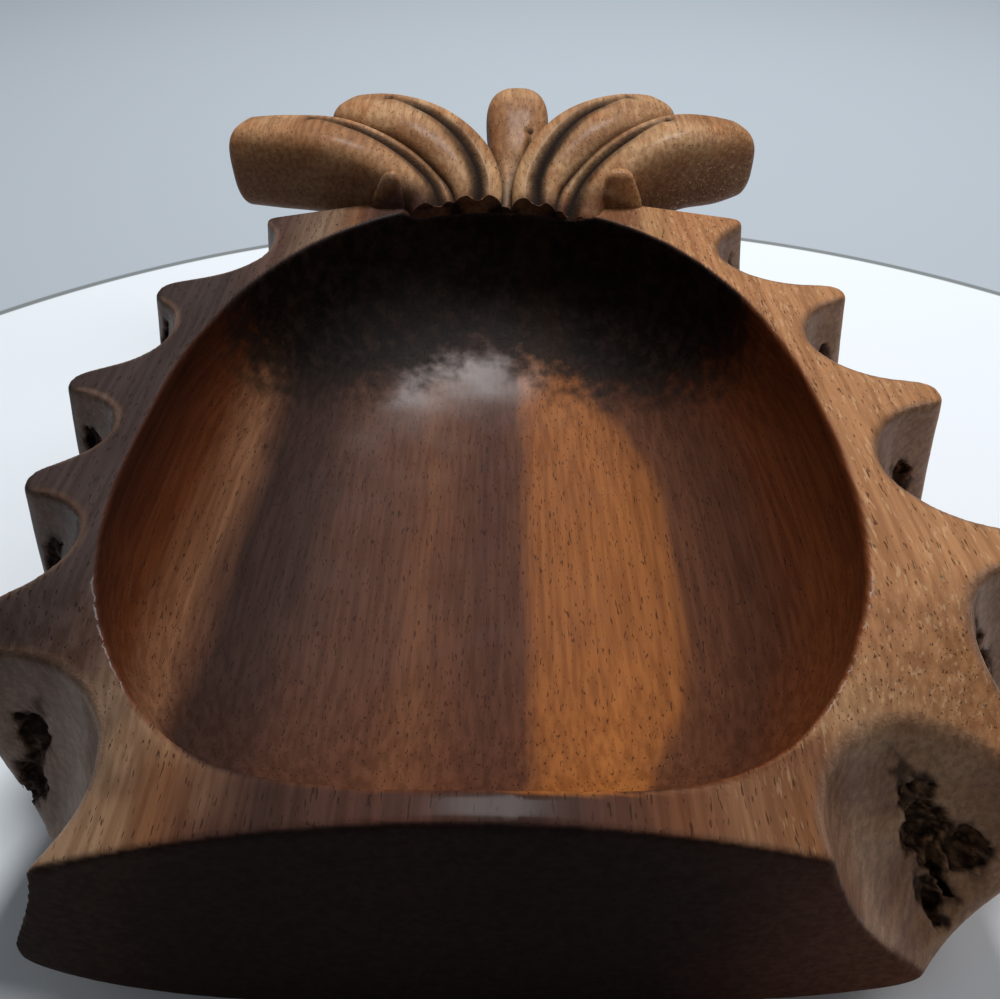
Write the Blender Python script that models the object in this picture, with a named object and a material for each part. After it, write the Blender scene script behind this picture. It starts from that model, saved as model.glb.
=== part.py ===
"""Carved wooden bowl in the shape of a pineapple, with a crown of leaves at one end.

+Y runs to the crown, +X to the right and +Z up. The origin is the middle of the flat
base. The bowl is carved from one block: a rounded body with a hollow cut into its flat
top, a row of spoon-shaped gouges down each side that leaves a scale between each two,
one plain facet across the front, and a fan of thick leaves behind. Each carved feature
is its own solid, cut from the same block along the carver's own lines.
"""
import math

import bpy
import bmesh
from mathutils import Matrix, Vector

# Driving dimensions, in metres
GAP = 0.0003                # clearance between two neighbouring pieces
RIM_Z = 0.052               # height of the flat rim above the base
FLOOR_Z = 0.013             # thickness of the wood under the hollow
SPLIT_Z = 0.024             # where the floor ends and the wall pieces begin
BODY_HALF_WIDTH = 0.0856    # across the tips of the scales, at the rim
BODY_MIDDLE_Y = -0.020      # where the body is widest
BODY_FRONT = 0.0965         # from there to the front of the uncut egg
BODY_BACK = 0.1485          # and to the back of the uncut egg
HOLLOW_X = -0.0026          # the hollow sits a little to the left
HOLLOW_HALF_WIDTH = 0.0615
HOLLOW_MIDDLE_Y = -0.0076
HOLLOW_FRONT = 0.0820
HOLLOW_BACK = 0.0987
FACET_Y = -0.0952           # the front facet, at the rim
FACET_LEAN = math.radians(3)
ARCH_X = -0.006             # the rim arches down to both sides of here at the front
ARCH_RADIUS = 0.130
ARCH_START_Y = -0.050       # the arch fades in from here
ARCH_FULL_Y = -0.092
NECK_HALF_WIDTH = 0.035     # at the shoulders, where the neck leaves the rim
SHOULDER_Y = 0.0915
NECK_END_HALF_WIDTH = 0.020
NECK_END_Y = 0.097          # where the neck ends and the leaves begin
GOUGE_BITE = 0.42           # depth of a gouge against the distance between its two tips
SHALLOW_BITES = {"gouge_left_1": 0.31, "gouge_left_2": 0.38}   # the wall is thin there
TIP_LAND = 0.0050           # keeps a land on each tip, between two gouges
GOUGE_HALF_HEIGHT = 0.045
GOUGE_CENTRE_Z = RIM_Z - 0.008
GOUGE_LEAN = math.radians(17)
WALL_TOP = 0.080            # safely above the rim and the neck
CUT_LOW, CUT_HIGH = -0.020, 0.100   # below the base, and above the highest leaf

# Tips of the scales at the rim, from the crown to the front corner
TIPS_RIGHT = [(0.060, 0.082), (0.075, 0.041), (0.081, -0.001),
              (0.081, -0.046), (0.075, -0.077), (0.050, -0.106)]
TIPS_LEFT = [(-0.057, 0.083), (-0.077, 0.043), (-0.083, 0.003),
             (-0.0775, -0.0285), (-0.075, -0.060), (-0.068, -0.101)]

# Outer sections of the body: height, and size against the outline at the rim
BODY_SECTIONS = [(0.0, 0.56), (0.003, 0.66), (0.010, 0.82), (0.020, 0.955), (0.031, 1.015),
                 (0.042, 1.010)]
TOP_RINGS = (1.0, 0.90, 0.80)   # sizes of the rings that carry the arched rim
# Sections of the hollow: height, and size against its outline at the rim
HOLLOW_SECTIONS = [(FLOOR_Z, 0.30), (0.0142, 0.48), (0.0170, 0.64), (0.0215, 0.77),
                   (0.0280, 0.87), (0.0360, 0.94), (0.0440, 0.98), (RIM_Z, 1.00),
                   (RIM_Z + 0.020, 1.02)]

# Leaf spines from root to tip: x, y, z, half width, half height
OUTER_LEAF = [(0.020, 0.0870, 0.0450, 0.0075, 0.0085), (0.031, 0.0955, 0.0540, 0.0100, 0.0100),
              (0.045, 0.1030, 0.0575, 0.0120, 0.0110), (0.058, 0.1090, 0.0575, 0.0115, 0.0100),
              (0.068, 0.1130, 0.0565, 0.0085, 0.0080), (0.0725, 0.1150, 0.0560, 0.0040, 0.0040)]
INNER_LEAF = [(0.010, 0.0860, 0.0450, 0.0070, 0.0090), (0.015, 0.0990, 0.0545, 0.0095, 0.0095),
              (0.023, 0.1120, 0.0600, 0.0120, 0.0095), (0.033, 0.1240, 0.0610, 0.0120, 0.0085),
              (0.042, 0.1340, 0.0595, 0.0085, 0.0065), (0.0465, 0.1390, 0.0580, 0.0040, 0.0035)]
CENTRE_LEAF = [(0.000, 0.0860, 0.0460, 0.0070, 0.0090), (0.001, 0.1050, 0.0560, 0.0090, 0.0090),
               (0.003, 0.1220, 0.0605, 0.0105, 0.0085), (0.004, 0.1370, 0.0615, 0.0085, 0.0065),
               (0.005, 0.1500, 0.0615, 0.0030, 0.0030)]
# Bract sections from root to tip: x, y, z, half width, half depth
BRACT = [(0.0295, 0.0895, RIM_Z + GAP, 0.0050, 0.0028), (0.0290, 0.0900, 0.0550, 0.0046, 0.0026),
         (0.0280, 0.0905, 0.0580, 0.0032, 0.0020), (0.0272, 0.0910, 0.0600, 0.0012, 0.0009)]

OUTLINE_POINTS = 52
LEAF_SIDES = 12
LEAF_SQUARENESS = 0.8       # 1 is an ellipse; less is squarer
FAR = 0.25                  # safely outside the bowl
SPARE = 0.001               # extra wood that a later cut takes away


def clear_scene():
    for leftover in list(bpy.data.objects):
        bpy.data.objects.remove(leftover, do_unlink=True)


def new_collection(name):
    group = bpy.data.collections.new(name)
    bpy.context.scene.collection.children.link(group)
    return group


def wood(name, colour, roughness):
    """A plain oiled-wood material."""
    material = bpy.data.materials.new(name)
    material.use_nodes = True
    shader = material.node_tree.nodes["Principled BSDF"]
    shader.inputs["Base Color"].default_value = (*colour, 1.0)
    shader.inputs["Roughness"].default_value = roughness
    shader.inputs["Metallic"].default_value = 0.0
    return material


def egg(half_width, middle, front, back, front_power, back_power, centre_x=0.0):
    """Points round an egg-shaped outline, anticlockwise, with a blunter front end."""
    points = []
    for step in range(OUTLINE_POINTS):
        angle = 2 * math.pi * step / OUTLINE_POINTS
        across, along = math.cos(angle), math.sin(angle)
        power = back_power if along >= 0 else front_power
        reach = back if along >= 0 else front
        x = half_width * math.copysign(abs(across) ** (2 / power), across)
        y = reach * math.copysign(abs(along) ** (2 / power), along)
        points.append((centre_x + x, middle + y))
    return points


def loft(name, rings, group):
    """A closed solid through rings that all have the same number of points."""
    mesh = bmesh.new()
    layers = [[mesh.verts.new(point) for point in ring] for ring in rings]
    count = len(layers[0])
    for lower, upper in zip(layers, layers[1:]):
        for side in range(count):
            after = (side + 1) % count
            mesh.faces.new((lower[side], lower[after], upper[after], upper[side]))
    mesh.faces.new(list(reversed(layers[0])))
    mesh.faces.new(layers[-1])
    bmesh.ops.recalc_face_normals(mesh, faces=mesh.faces)
    data = bpy.data.meshes.new(name)
    mesh.to_mesh(data)
    mesh.free()
    made = bpy.data.objects.new(name, data)
    group.objects.link(made)
    return made


def prism(name, outline, low, high, group):
    """An upright solid of a flat outline, from the height low to the height high."""
    curve = bpy.data.curves.new(name + "_outline", 'CURVE')
    curve.dimensions = '2D'
    curve.fill_mode = 'BOTH'
    curve.extrude = (high - low) / 2
    spline = curve.splines.new('POLY')
    spline.points.add(len(outline) - 1)
    for point, (x, y) in zip(spline.points, outline):
        point.co = (x, y, 0.0, 1.0)
    spline.use_cyclic_u = True
    drawn = bpy.data.objects.new(name + "_outline", curve)
    bpy.context.scene.collection.objects.link(drawn)
    bpy.context.view_layer.update()
    graph = bpy.context.evaluated_depsgraph_get()
    data = bpy.data.meshes.new_from_object(drawn.evaluated_get(graph))
    bpy.data.objects.remove(drawn, do_unlink=True)
    mesh = bmesh.new()
    mesh.from_mesh(data)
    bmesh.ops.remove_doubles(mesh, verts=mesh.verts, dist=1e-6)
    bmesh.ops.translate(mesh, verts=mesh.verts, vec=(0, 0, (low + high) / 2))
    bmesh.ops.recalc_face_normals(mesh, faces=mesh.faces)
    mesh.to_mesh(data)
    mesh.free()
    made = bpy.data.objects.new(name, data)
    group.objects.link(made)
    return made


def boolean(target, operation, cutter):
    """Adds an exact Boolean of target with cutter."""
    step = target.modifiers.new(operation.lower() + "_" + cutter.name, 'BOOLEAN')
    step.operation = operation
    step.solver = 'EXACT'
    step.object = cutter


def hide_as_cutter(thing):
    thing.hide_render = True
    thing.display_type = 'WIRE'


def rim_height(x, y):
    """Height of the rim at a place: it arches down towards its two front corners."""
    forward = (ARCH_START_Y - y) / (ARCH_START_Y - ARCH_FULL_Y)
    forward = min(1.0, max(0.0, forward))
    return RIM_Z - forward * (x - ARCH_X) ** 2 / (2 * ARCH_RADIUS)


def make_block(cutters):
    """The rounded block, with its flat top arched down at the two front corners."""
    outline = egg(BODY_HALF_WIDTH, BODY_MIDDLE_Y, BODY_FRONT, BODY_BACK, 3.6, 2.0)
    middle = Vector((0.0, BODY_MIDDLE_Y))
    rings = []
    for height, size in BODY_SECTIONS:
        ring = [middle + (Vector(point) - middle) * size for point in outline]
        rings.append([(x, y, height * rim_height(x, y) / RIM_Z) for x, y in ring])
    for size in TOP_RINGS:
        ring = [middle + (Vector(point) - middle) * size for point in outline]
        rings.append([(x, y, rim_height(x, y)) for x, y in ring])
    return loft("block", rings, cutters)


def make_hollow(cutters):
    outline = egg(HOLLOW_HALF_WIDTH, HOLLOW_MIDDLE_Y, HOLLOW_FRONT, HOLLOW_BACK, 2.78, 2.08,
                  HOLLOW_X)
    middle = Vector((HOLLOW_X, HOLLOW_MIDDLE_Y))
    rings = []
    for height, size in HOLLOW_SECTIONS:
        ring = [middle + (Vector(point) - middle) * size for point in outline]
        rings.append([(x, y, height) for x, y in ring])
    return loft("hollow_cut", rings, cutters)


def make_facet_cut(cutters):
    """A slab in front of the facet, leaning so that the foot of the facet is set back."""
    bpy.ops.mesh.primitive_cube_add(size=FAR, location=(0, 0, 0))
    cut = bpy.context.object
    cut.name = "facet_cut"
    for group in list(cut.users_collection):
        group.objects.unlink(cut)
    cutters.objects.link(cut)
    lean = Matrix.Rotation(FACET_LEAN, 4, 'X')
    hinge = Vector((0, FACET_Y, RIM_Z))
    cut.matrix_world = Matrix.Translation(hinge) @ lean @ Matrix.Translation((0, -FAR / 2, 0))
    return cut


def neck_corners(longer=0.0):
    """The neck in plan, from its right shoulder round its end to its left shoulder."""
    shoulder, end = NECK_HALF_WIDTH, NECK_END_HALF_WIDTH
    return [(shoulder, SHOULDER_Y + longer), (end, NECK_END_Y + longer),
            (-end, NECK_END_Y + longer), (-shoulder, SHOULDER_Y + longer)]


def make_back_cut(cutters):
    """Everything behind the shoulders and beside the neck."""
    right, left = TIPS_RIGHT[0], TIPS_LEFT[0]
    outline = [(FAR, right[1] - 0.004), right, *neck_corners(SPARE), left,
               (-FAR, left[1] - 0.004), (-FAR, FAR), (FAR, FAR)]
    return prism("back_cut", outline, CUT_LOW, CUT_HIGH, cutters)


def make_gouge(name, tip, next_tip, cutters):
    """One spoon-shaped cut between two tips, deepest at the rim and running out below."""
    start, end = Vector(tip), Vector(next_tip)
    chord = (end - start).length
    bite = SHALLOW_BITES.get(name, GOUGE_BITE) * chord
    radius = (chord * chord / 4 + bite * bite) / (2 * bite)
    middle = (start + end) / 2
    outward = Vector((start.y - end.y, end.x - start.x)).normalized()
    if outward.dot(middle - Vector((0, BODY_MIDDLE_Y))) < 0:
        outward.negate()
    centre = middle + outward * (radius - bite + TIP_LAND)
    bpy.ops.mesh.primitive_uv_sphere_add(segments=24, ring_count=12, radius=1)
    cut = bpy.context.object
    cut.name = name
    for group in list(cut.users_collection):
        group.objects.unlink(cut)
    cutters.objects.link(cut)
    along = Vector((-outward.y, outward.x, 0))
    lean = Matrix.Rotation(-GOUGE_LEAN, 4, along)
    size = Matrix.Diagonal((radius, radius, GOUGE_HALF_HEIGHT, 1))
    place = Matrix.Translation((centre.x, centre.y, GOUGE_CENTRE_Z))
    cut.matrix_world = place @ lean @ size
    return cut


def make_carved_body(roots, cutters):
    """The block with its leaf roots, after every cut has been made."""
    body = make_block(cutters)
    back_cut = make_back_cut(cutters)
    boolean(body, 'DIFFERENCE', back_cut)
    hide_as_cutter(back_cut)
    for root in roots:
        boolean(body, 'UNION', root)
        hide_as_cutter(root)
    cuts = [make_hollow(cutters), make_facet_cut(cutters)]
    for side, tips in (("right", TIPS_RIGHT), ("left", TIPS_LEFT)):
        for number, (tip, next_tip) in enumerate(zip(tips, tips[1:]), 1):
            cuts.append(make_gouge("gouge_%s_%d" % (side, number), tip, next_tip, cutters))
    for cut in cuts:
        boolean(body, 'DIFFERENCE', cut)
        hide_as_cutter(cut)
    hide_as_cutter(body)
    return body


def shrink(outline, amount):
    """The same convex outline with each side moved in by amount."""
    count = len(outline)
    lines = []
    for index in range(count):
        start, end = Vector(outline[index]), Vector(outline[(index + 1) % count])
        along = (end - start).normalized()
        inward = Vector((-along.y, along.x))
        lines.append((start + inward * amount, along))
    corners = []
    for index in range(count):
        (one, run), (two, rise) = lines[index - 1], lines[index]
        cross = run.x * rise.y - run.y * rise.x
        reach = ((two - one).x * rise.y - (two - one).y * rise.x) / cross
        corners.append(tuple(one + run * reach))
    return corners


def wall_cells():
    """Plan outline of each wall piece, anticlockwise, by name.

    Each boundary runs out from the middle of the hollow through the middle of a gouge,
    so that each wall piece carries one whole scale.
    """
    hub = Vector((0.0, -0.010))
    bearings = {}
    for side, tips in (("right", TIPS_RIGHT), ("left", TIPS_LEFT)):
        middles = [(Vector(a) + Vector(b)) / 2 for a, b in zip(tips, tips[1:])]
        bearings[side] = [hub + (spot - hub).normalized() * FAR for spot in middles]
    cells = {}
    for side, sign in (("right", 1), ("left", -1)):
        shoulder = Vector((sign * NECK_HALF_WIDTH, SHOULDER_Y))
        ends = bearings[side]
        first = hub + (ends[0] - hub) * ((SHOULDER_Y - hub.y) / (ends[0].y - hub.y))
        corners = [hub, first, shoulder]
        cells["scale_%s_1" % side] = corners if side == "right" else corners[::-1]
        for number in range(1, len(ends)):
            corners = [hub, ends[number], ends[number - 1]]
            cells["scale_%s_%d" % (side, number + 1)] = corners if side == "right" else corners[::-1]
    cells["front_wall"] = [hub, bearings["left"][-1], bearings["right"][-1]]
    cells["crown_neck"] = [hub, *neck_corners()]
    return cells


def finish(piece, colour, roughness):
    piece.data.materials.append(wood(piece.name + "_wood", colour, roughness))
    for face in piece.data.polygons:
        face.use_smooth = False


def make_walls(body, parts):
    left, right, front = (0.10, 0.055, 0.045), (0.30, 0.13, 0.045), (0.06, 0.025, 0.018)
    for name, outline in wall_cells().items():
        piece = prism(name, shrink(outline, GAP / 2), SPLIT_Z + GAP / 2, WALL_TOP, parts)
        boolean(piece, 'INTERSECT', body)
        colour = right if "right" in name else left if "left" in name else front
        finish(piece, colour, 0.42)


def make_floor(body, parts):
    square = [(-FAR, -FAR), (FAR, -FAR), (FAR, FAR), (-FAR, FAR)]
    piece = prism("bowl_floor", square, CUT_LOW, SPLIT_Z - GAP / 2, parts)
    boolean(piece, 'INTERSECT', body)
    finish(piece, (0.16, 0.055, 0.025), 0.30)


def section(centre, across, rise, half_width, half_height):
    """A rounded, slightly square ring round centre."""
    ring = []
    for step in range(LEAF_SIDES):
        angle = 2 * math.pi * step / LEAF_SIDES
        reach = math.copysign(abs(math.cos(angle)) ** LEAF_SQUARENESS, math.cos(angle))
        lift = math.copysign(abs(math.sin(angle)) ** LEAF_SQUARENESS, math.sin(angle))
        ring.append(centre + across * half_width * reach + rise * half_height * lift)
    return ring


def leaf_rings(spine, side):
    """Sections square to a leaf's spine; side is 1 for the right leaf and -1 for the left."""
    places = [Vector((side * x, y, z)) for x, y, z, _, _ in spine]
    rings = []
    for index, (_, _, _, half_width, half_height) in enumerate(spine):
        before = places[max(index - 1, 0)]
        after = places[min(index + 1, len(places) - 1)]
        run = (after - before).normalized()
        across = run.cross(Vector((0, 0, 1))).normalized()
        rise = across.cross(run).normalized()
        rings.append(section(places[index], across, rise, half_width, half_height))
    return rings


def bract_rings(side, extra):
    """Level sections of a bract, made larger all round by extra."""
    across, depth = Vector((1, 0, 0)), Vector((0, 1, 0))
    rings = []
    for x, y, z, half_width, half_depth in BRACT:
        centre = Vector((side * x, y, z))
        rings.append(section(centre, across, depth, half_width + extra, half_depth + extra))
    lowest, highest = rings[0], rings[-1]
    rings[0] = [point - Vector((0, 0, extra)) for point in lowest]
    rings[-1] = [point + Vector((0, 0, extra)) for point in highest]
    return rings


def leaf_plan():
    """Every leaf: name, spine, side, and the plan outline of the space it keeps."""
    root, spread = 0.0065, 0.018
    centre = [(-root, NECK_END_Y), (root, NECK_END_Y), (spread, FAR), (-spread, FAR)]
    plan = [("leaf_centre", CENTRE_LEAF, 1, centre)]
    for side, label in ((1, "right"), (-1, "left")):
        corner = (side * NECK_END_HALF_WIDTH, NECK_END_Y)
        crease = (side * 0.095, 0.190)
        inner = [(side * root, NECK_END_Y), corner, crease, (side * spread, FAR)]
        outer = [corner, (side * NECK_HALF_WIDTH, SHOULDER_Y), (side * 0.120, SHOULDER_Y), crease]
        if side < 0:
            inner.reverse()
            outer.reverse()
        plan.append(("leaf_inner_" + label, INNER_LEAF, side, inner))
        plan.append(("leaf_outer_" + label, OUTER_LEAF, side, outer))
    return plan


def make_roots(cutters):
    """A copy of every leaf, to be joined to the block so that the neck carries their roots."""
    return [loft(name + "_root", leaf_rings(spine, side), cutters)
            for name, spine, side, _ in leaf_plan()]


def make_leaves(parts, cutters):
    for name, spine, side, outline in leaf_plan():
        piece = loft(name, leaf_rings(spine, side), parts)
        space = prism(name + "_space", shrink(outline, GAP / 2), CUT_LOW, CUT_HIGH, cutters)
        hide_as_cutter(space)
        boolean(piece, 'INTERSECT', space)
        finish(piece, (0.27, 0.13, 0.055), 0.45)


def make_bracts(neck, parts, cutters):
    """A small lobe on each side of the neck, in a socket of its own."""
    for side, label in ((1, "right"), (-1, "left")):
        piece = loft("bract_" + label, bract_rings(side, 0.0), parts)
        finish(piece, (0.24, 0.13, 0.075), 0.45)
        socket = loft("bract_socket_" + label, bract_rings(side, GAP), cutters)
        hide_as_cutter(socket)
        boolean(neck, 'DIFFERENCE', socket)


def main():
    clear_scene()
    parts = new_collection("pineapple_bowl")
    cutters = new_collection("carving_cuts")
    body = make_carved_body(make_roots(cutters), cutters)
    make_floor(body, parts)
    make_walls(body, parts)
    make_leaves(parts, cutters)
    make_bracts(parts.objects["crown_neck"], parts, cutters)


main()
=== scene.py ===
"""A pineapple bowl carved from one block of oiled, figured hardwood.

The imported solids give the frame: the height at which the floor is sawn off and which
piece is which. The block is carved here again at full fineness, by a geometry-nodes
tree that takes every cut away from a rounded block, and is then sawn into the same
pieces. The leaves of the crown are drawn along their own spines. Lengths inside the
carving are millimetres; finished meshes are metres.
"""
import math

import bmesh
import bpy
import numpy as np
from bpy.props import FloatProperty, FloatVectorProperty, PointerProperty
from mathutils import Matrix, Vector
from mathutils.bvhtree import BVHTree


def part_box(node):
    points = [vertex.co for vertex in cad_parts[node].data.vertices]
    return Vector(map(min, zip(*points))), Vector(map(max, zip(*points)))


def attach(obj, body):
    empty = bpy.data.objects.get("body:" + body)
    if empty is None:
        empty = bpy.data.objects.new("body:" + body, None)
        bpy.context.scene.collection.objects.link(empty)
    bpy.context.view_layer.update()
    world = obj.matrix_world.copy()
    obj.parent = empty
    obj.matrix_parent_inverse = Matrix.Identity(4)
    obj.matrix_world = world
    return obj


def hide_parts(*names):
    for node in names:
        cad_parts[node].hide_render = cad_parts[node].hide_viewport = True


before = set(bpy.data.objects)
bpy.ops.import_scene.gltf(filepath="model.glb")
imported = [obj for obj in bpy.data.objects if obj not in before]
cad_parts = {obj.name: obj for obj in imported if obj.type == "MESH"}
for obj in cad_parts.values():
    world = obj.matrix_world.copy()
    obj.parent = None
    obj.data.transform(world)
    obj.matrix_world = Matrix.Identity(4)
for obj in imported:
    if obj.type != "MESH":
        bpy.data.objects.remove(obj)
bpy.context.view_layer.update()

bl_info = {
    "name": "Carved Pineapple Bowl",
    "version": (1, 0, 0),
    "blender": (4, 5, 0),
    "location": "3D View > Sidebar > Carved Bowl",
    "description": "Carves a pineapple bowl and finishes it in oiled, figured wood",
    "category": "Object",
}

MM = 0.001
RIM = 52.0                                      # height of the flat rim
FLOOR = 13.0                                    # wood left under the hollow
SAW_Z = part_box("bowl_floor")[1][2] / MM         # the floor is sawn from the walls here

# Tips of the scales at the rim, from the crown to the front corner
TIPS = {
    "right": [(60, 82), (75, 41), (81, -1), (81, -46), (75, -77), (50, -106)],
    "left": [(-57, 83), (-77, 43), (-83, 3), (-77.5, -28.5), (-75, -60), (-68, -101)],
}
SHOULDER = (35.0, 91.5)                         # where the neck leaves the rim
HUB = (0.0, -10.0)                              # the saw cuts through the wall meet here


# ---------------------------------------------------------------- node graphs

class Wire:
    """A value in a node graph; sums and products of wires become Math nodes."""

    def __init__(self, graph, socket):
        self.graph, self.socket = graph, socket

    def __add__(self, other):
        return self.graph.math('ADD', self, other)

    def __radd__(self, other):
        return self.graph.math('ADD', other, self)

    def __sub__(self, other):
        return self.graph.math('SUBTRACT', self, other)

    def __rsub__(self, other):
        return self.graph.math('SUBTRACT', other, self)

    def __mul__(self, other):
        return self.graph.math('MULTIPLY', self, other)

    def __rmul__(self, other):
        return self.graph.math('MULTIPLY', other, self)

    def __truediv__(self, other):
        return self.graph.math('DIVIDE', self, other)

    def __rtruediv__(self, other):
        return self.graph.math('DIVIDE', other, self)

    def __pow__(self, other):
        return self.graph.math('POWER', self, other)

    def __neg__(self):
        return self.graph.math('MULTIPLY', self, -1.0)

    def __abs__(self):
        return self.graph.math('ABSOLUTE', self)


class Graph:
    """Adds nodes to a shader or geometry tree."""

    def __init__(self, tree):
        self.tree = tree

    def node(self, kind, settings=None, values=None):
        """A node of a kind, with its settings made first and then its sockets."""
        made = self.tree.nodes.new(kind)
        for name, value in (settings or {}).items():
            setattr(made, name, value)
        for name, value in (values or {}).items():
            socket = made.inputs[name]
            if isinstance(value, Wire):
                self.tree.links.new(value.socket, socket)
            else:
                socket.default_value = value
        return made

    def out(self, kind, settings=None, values=None, output=0):
        return Wire(self, self.node(kind, settings, values).outputs[output])

    def math(self, operation, *values):
        return self.out('ShaderNodeMath', {"operation": operation}, dict(enumerate(values)))

    def vector(self, operation, *values, output=0):
        return self.out('ShaderNodeVectorMath', {"operation": operation},
                        dict(enumerate(values)), output)

    def split(self, vector):
        made = self.node('ShaderNodeSeparateXYZ', values={0: vector})
        return [Wire(self, socket) for socket in made.outputs]

    def biggest(self, *values):
        result = values[0]
        for value in values[1:]:
            result = self.math('MAXIMUM', result, value)
        return result

    def smallest(self, *values):
        result = values[0]
        for value in values[1:]:
            result = self.math('MINIMUM', result, value)
        return result

    def step(self, value, start, end):
        """0 before start, 1 after end, and smooth between them."""
        return self.out('ShaderNodeMapRange', {"interpolation_type": 'SMOOTHSTEP'},
                        {"Value": value, "From Min": start, "From Max": end})

    def noise(self, point, scale, detail=2.0, roughness=0.5):
        return self.out('ShaderNodeTexNoise', {"noise_dimensions": '3D'},
                        {"Vector": point, "Scale": scale, "Detail": detail,
                         "Roughness": roughness})


# ---------------------------------------------------------------- carving

FILLET = 1.76               # a smooth maximum of this times r rounds an edge to radius r

# An outline in plan: its middle, its reach to the front and to the back, and the powers
# of the two curves, where 2 is an ellipse and more is squarer
BLOCK_OUTLINE = (-20.0, 98.0, 149.0, 3.4, 2.0)
BLOCK_HALF_WIDTH = 84.3
BELLY = 1.015               # width of the widest section, against the rim
BELLY_Z = 32.0              # height of that section
BELLY_DROP = 37.0           # how far under it the block would close
SECTION_POWER = 2.4         # roundness of the block under the belly
SLIM_FRONT_LEFT = 0.055     # the left side is slimmer by this share towards the front

HOLLOW_X = -2.6
HOLLOW_HALF_WIDTH = 61.5
HOLLOW_OUTLINE = (-7.6, 82.0, 98.7, 2.78, 2.08)
HOLLOW_POWER = 2.7          # roundness of the hollow in section

ARCH_X = -6.0               # the rim arches down to both sides of here at the front
ARCH_RADIUS = 130.0
ARCH_FADES_IN = (50.0, 92.0)
FACET_Y = -95.2             # the front facet, at the rim
FACET_LEAN = math.radians(3)
SHOULDER_SLOPE = 0.38       # the neck runs back by this much for each step outwards

GOUGE_BITE = 0.40           # depth of a gouge against the distance between its two tips
SHALLOW_BITES = {("left", 1): 0.28, ("left", 2): 0.34}
GOUGE_LAND = 2.0            # wood that a gouge leaves outside the line of its tips
HALF_TIP = 4.0              # half the width of a scale's blunt tip
GOUGE_LEAN = 19             # degrees out from upright
GOUGE_Z = RIM - 8.0
GOUGE_HALF_HEIGHT = 45.0
GOUGE_FILLET = 4.5
# The two gouges at the front corners: centre x and y, radius, bearing and lean
CORNER_GOUGES = {
    ("right", 5): (62.5, -94.0, 20.5, -34.0, 28),
    ("left", 5): (-72.8, -83.0, 18.8, 180.0, 19),
}

# Cracks and knot holes left in a gouge, in degrees below its middle and round towards the
# crown, then half depth, half width and half height
PITS = {
    ("right", 1): [(-2, 57, 1.3, 1.0, 2.4)],
    ("right", 2): [(2, 57, 2.0, 1.8, 2.8), (7, 50, 1.5, 0.8, 4.6)],
    ("right", 3): [(4, 54, 2.4, 2.2, 3.4), (8, 48, 1.7, 0.9, 6.4)],
    ("right", 4): [(3, 23, 2.0, 1.0, 8.0), (8, 25, 2.4, 2.2, 4.0), (0, 21, 1.8, 1.8, 2.6)],
    ("right", 5): [(15, 32, 2.6, 1.2, 12.5), (14, 34, 3.6, 3.6, 5.2), (4, 36, 2.2, 2.4, 2.4),
                   (21, 47, 2.4, 2.6, 4.0), (26, 22, 2.0, 1.3, 5.0)],
    ("left", 2): [(-5, 48, 1.5, 1.0, 3.6)],
    ("left", 3): [(-1, 52, 1.9, 1.7, 2.6), (4, 46, 1.5, 0.9, 4.6)],
    ("left", 4): [(4, 57, 2.0, 1.4, 4.6)],
    ("left", 5): [(19, 67, 2.4, 1.3, 11.0), (12, 69, 2.6, 2.6, 3.6), (26, 64, 3.0, 3.0, 4.4)],
}


def cut_away(graph, solid, tool, radius):
    """The solid less what is inside the tool, with the new edge rounded."""
    return graph.math('SMOOTH_MAX', solid, -tool, FILLET * radius)


def egg(graph, x, y, half_width, middle, front, back, front_power, back_power):
    """1 on an egg-shaped outline, less inside it and more outside."""
    across = abs(x) / half_width
    forward = graph.biggest(middle - y, 0.0) / front
    behind = graph.biggest(y - middle, 0.0) / back
    blunt = (across ** front_power + forward ** front_power) ** (1 / front_power)
    sharp = (across ** back_power + behind ** back_power) ** (1 / back_power)
    return graph.biggest(blunt, sharp)


def rounded_block(graph, x, y, z):
    """The egg-shaped block: widest 20 mm under the rim, and drawn in to a flat base."""
    slimmer = SLIM_FRONT_LEFT * graph.step(-x, 20.0, 60.0) * graph.step(-y, -4.0, 26.0)
    outline = egg(graph, x * (1.0 + slimmer), y, BLOCK_HALF_WIDTH, *BLOCK_OUTLINE)
    under = graph.biggest(BELLY_Z - z, 0.0) * (BELLY / BELLY_DROP)
    over = graph.biggest(z - BELLY_Z, 0.0) / (RIM - BELLY_Z)
    section = (outline ** SECTION_POWER + under ** SECTION_POWER) ** (1 / SECTION_POWER)
    return (section - BELLY + (BELLY - 1.0) * over * over) * BLOCK_HALF_WIDTH


def hollow(graph, x, y, z):
    """The hollow: an egg in plan and a deep bowl in section."""
    outline = egg(graph, x - HOLLOW_X, y, HOLLOW_HALF_WIDTH, *HOLLOW_OUTLINE)
    depth = graph.biggest(RIM - z, 0.0) / (RIM - FLOOR)
    section = (outline ** HOLLOW_POWER + depth ** HOLLOW_POWER) ** (1 / HOLLOW_POWER)
    return (section - 1.0) * HOLLOW_HALF_WIDTH


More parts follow.
